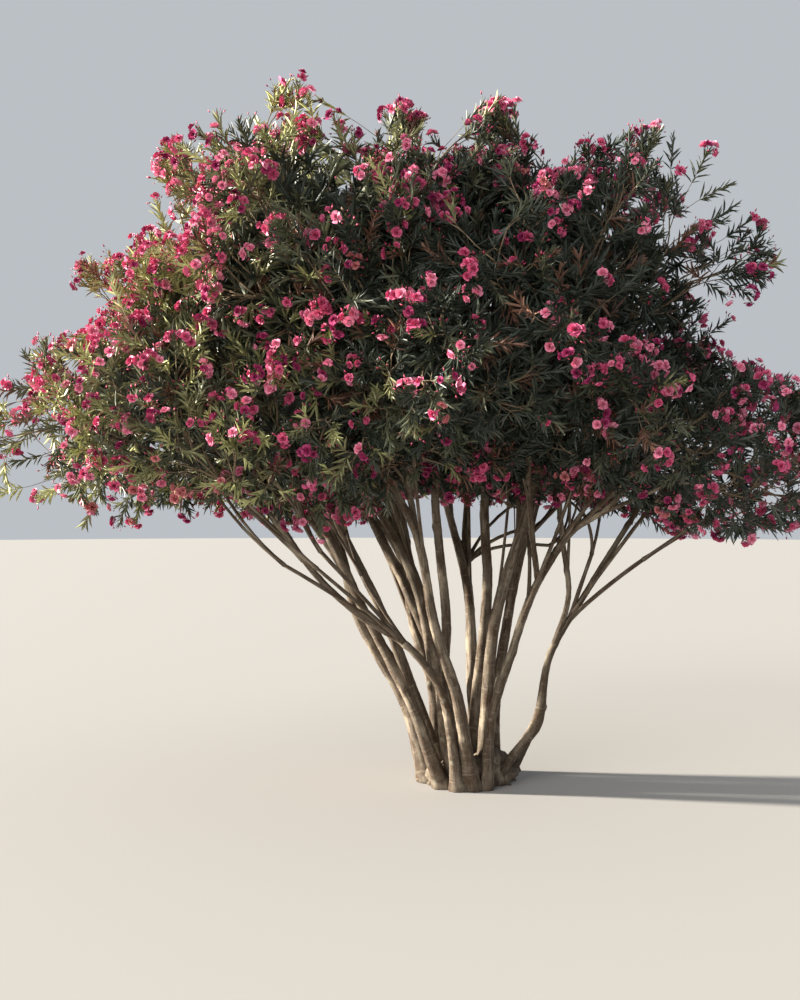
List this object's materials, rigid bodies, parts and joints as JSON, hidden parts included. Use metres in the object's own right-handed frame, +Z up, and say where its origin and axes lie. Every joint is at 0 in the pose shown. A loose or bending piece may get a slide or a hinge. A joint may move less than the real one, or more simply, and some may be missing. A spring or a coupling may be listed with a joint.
{
  "type": "oleander shrub",
  "caption": "Tall many-stemmed oleander in bloom, rooted in the ground: a fan of leaning stems under a wide dome of narrow leaves and double pink flowers.",
  "frame": {"origin": "middle of the flat cut at ground level under the root crown", "axes": "+Z up, -Y towards the front that the picture shows, +X to the right of that view"},
  "size_m": [4.5022, 4.123, 3.5891],
  "materials": {
    "bark": "matt grey-brown bark with pale rings and shallow furrows",
    "foliage": "leathery dark green leaves, olive where they are young",
    "blossom": "soft rose pink petals"
  },
  "bodies": {
    "root": {"root_crown": "bark", "stem_high_1": "bark", "stem_high_2": "bark", "stem_high_3": "bark", "stem_high_4": "bark", "stem_high_5": "bark", "stem_high_6": "bark", "stem_low_1": "bark", "stem_low_6": "bark", "stem_low_8": "bark", "stem_middle_2": "bark", "stem_middle_3": "bark", "stem_middle_4": "bark", "stem_middle_5": "bark", "stem_middle_6": "bark", "stem_prop": "bark", "stem_top_1": "bark", "stem_top_2": "bark", "bough_low_2": "bark", "bough_low_3": "bark", "bough_low_4": "bark", "bough_low_5": "bark", "bough_low_7": "bark", "bough_middle_1": "bark", "bough_middle_7": "bark", "bough_middle_8": "bark", "foliage_high_1": "foliage", "foliage_high_2": "foliage", "foliage_high_3": "foliage", "foliage_high_4": "foliage", "foliage_high_5": "foliage", "foliage_high_6": "foliage", "foliage_low_1": "foliage", "foliage_low_2": "foliage", "foliage_low_3": "foliage", "foliage_low_4": "foliage", "foliage_low_5": "foliage", "foliage_low_6": "foliage", "foliage_low_7": "foliage", "foliage_low_8": "foliage", "foliage_middle_1": "foliage", "foliage_middle_2": "foliage", "foliage_middle_3": "foliage", "foliage_middle_4": "foliage", "foliage_middle_5": "foliage", "foliage_middle_6": "foliage", "foliage_middle_7": "foliage", "foliage_middle_8": "foliage", "foliage_top_1": "foliage", "foliage_top_2": "foliage"}
  },
  "joints": []
}
